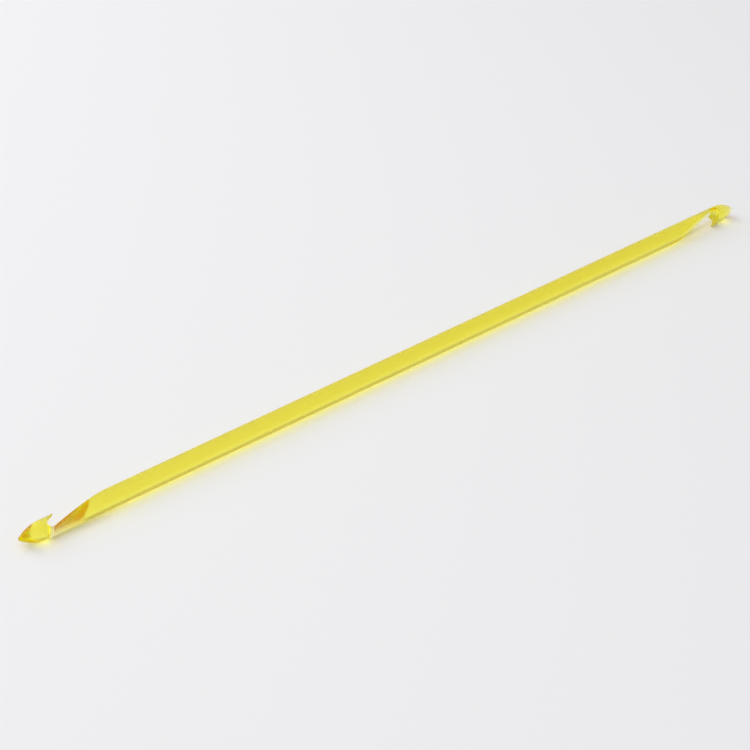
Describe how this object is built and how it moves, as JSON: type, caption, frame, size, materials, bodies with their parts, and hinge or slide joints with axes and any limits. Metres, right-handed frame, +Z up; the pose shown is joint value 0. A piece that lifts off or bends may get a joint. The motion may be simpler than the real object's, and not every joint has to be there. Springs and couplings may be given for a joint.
{
  "type": "tunisian crochet hook",
  "caption": "Double-ended tunisian crochet hook: a long round rod of clear yellow acrylic with a pointed, hooked head at each end and mouths that open to opposite sides",
  "frame": {"origin": "the middle of the hook's length, on the floor under it", "axes": "+X runs along the hook, +Z is up. The hook lies rolled as it does in the picture: the mouth at -X opens to +Y and a little upward, the mouth at +X to -Y and a little downward"},
  "size_m": [0.3, 0.006, 0.006],
  "materials": {
    "acrylic": "clear, polished"
  },
  "bodies": {
    "root": {"crochet_hook": "acrylic"}
  },
  "joints": []
}
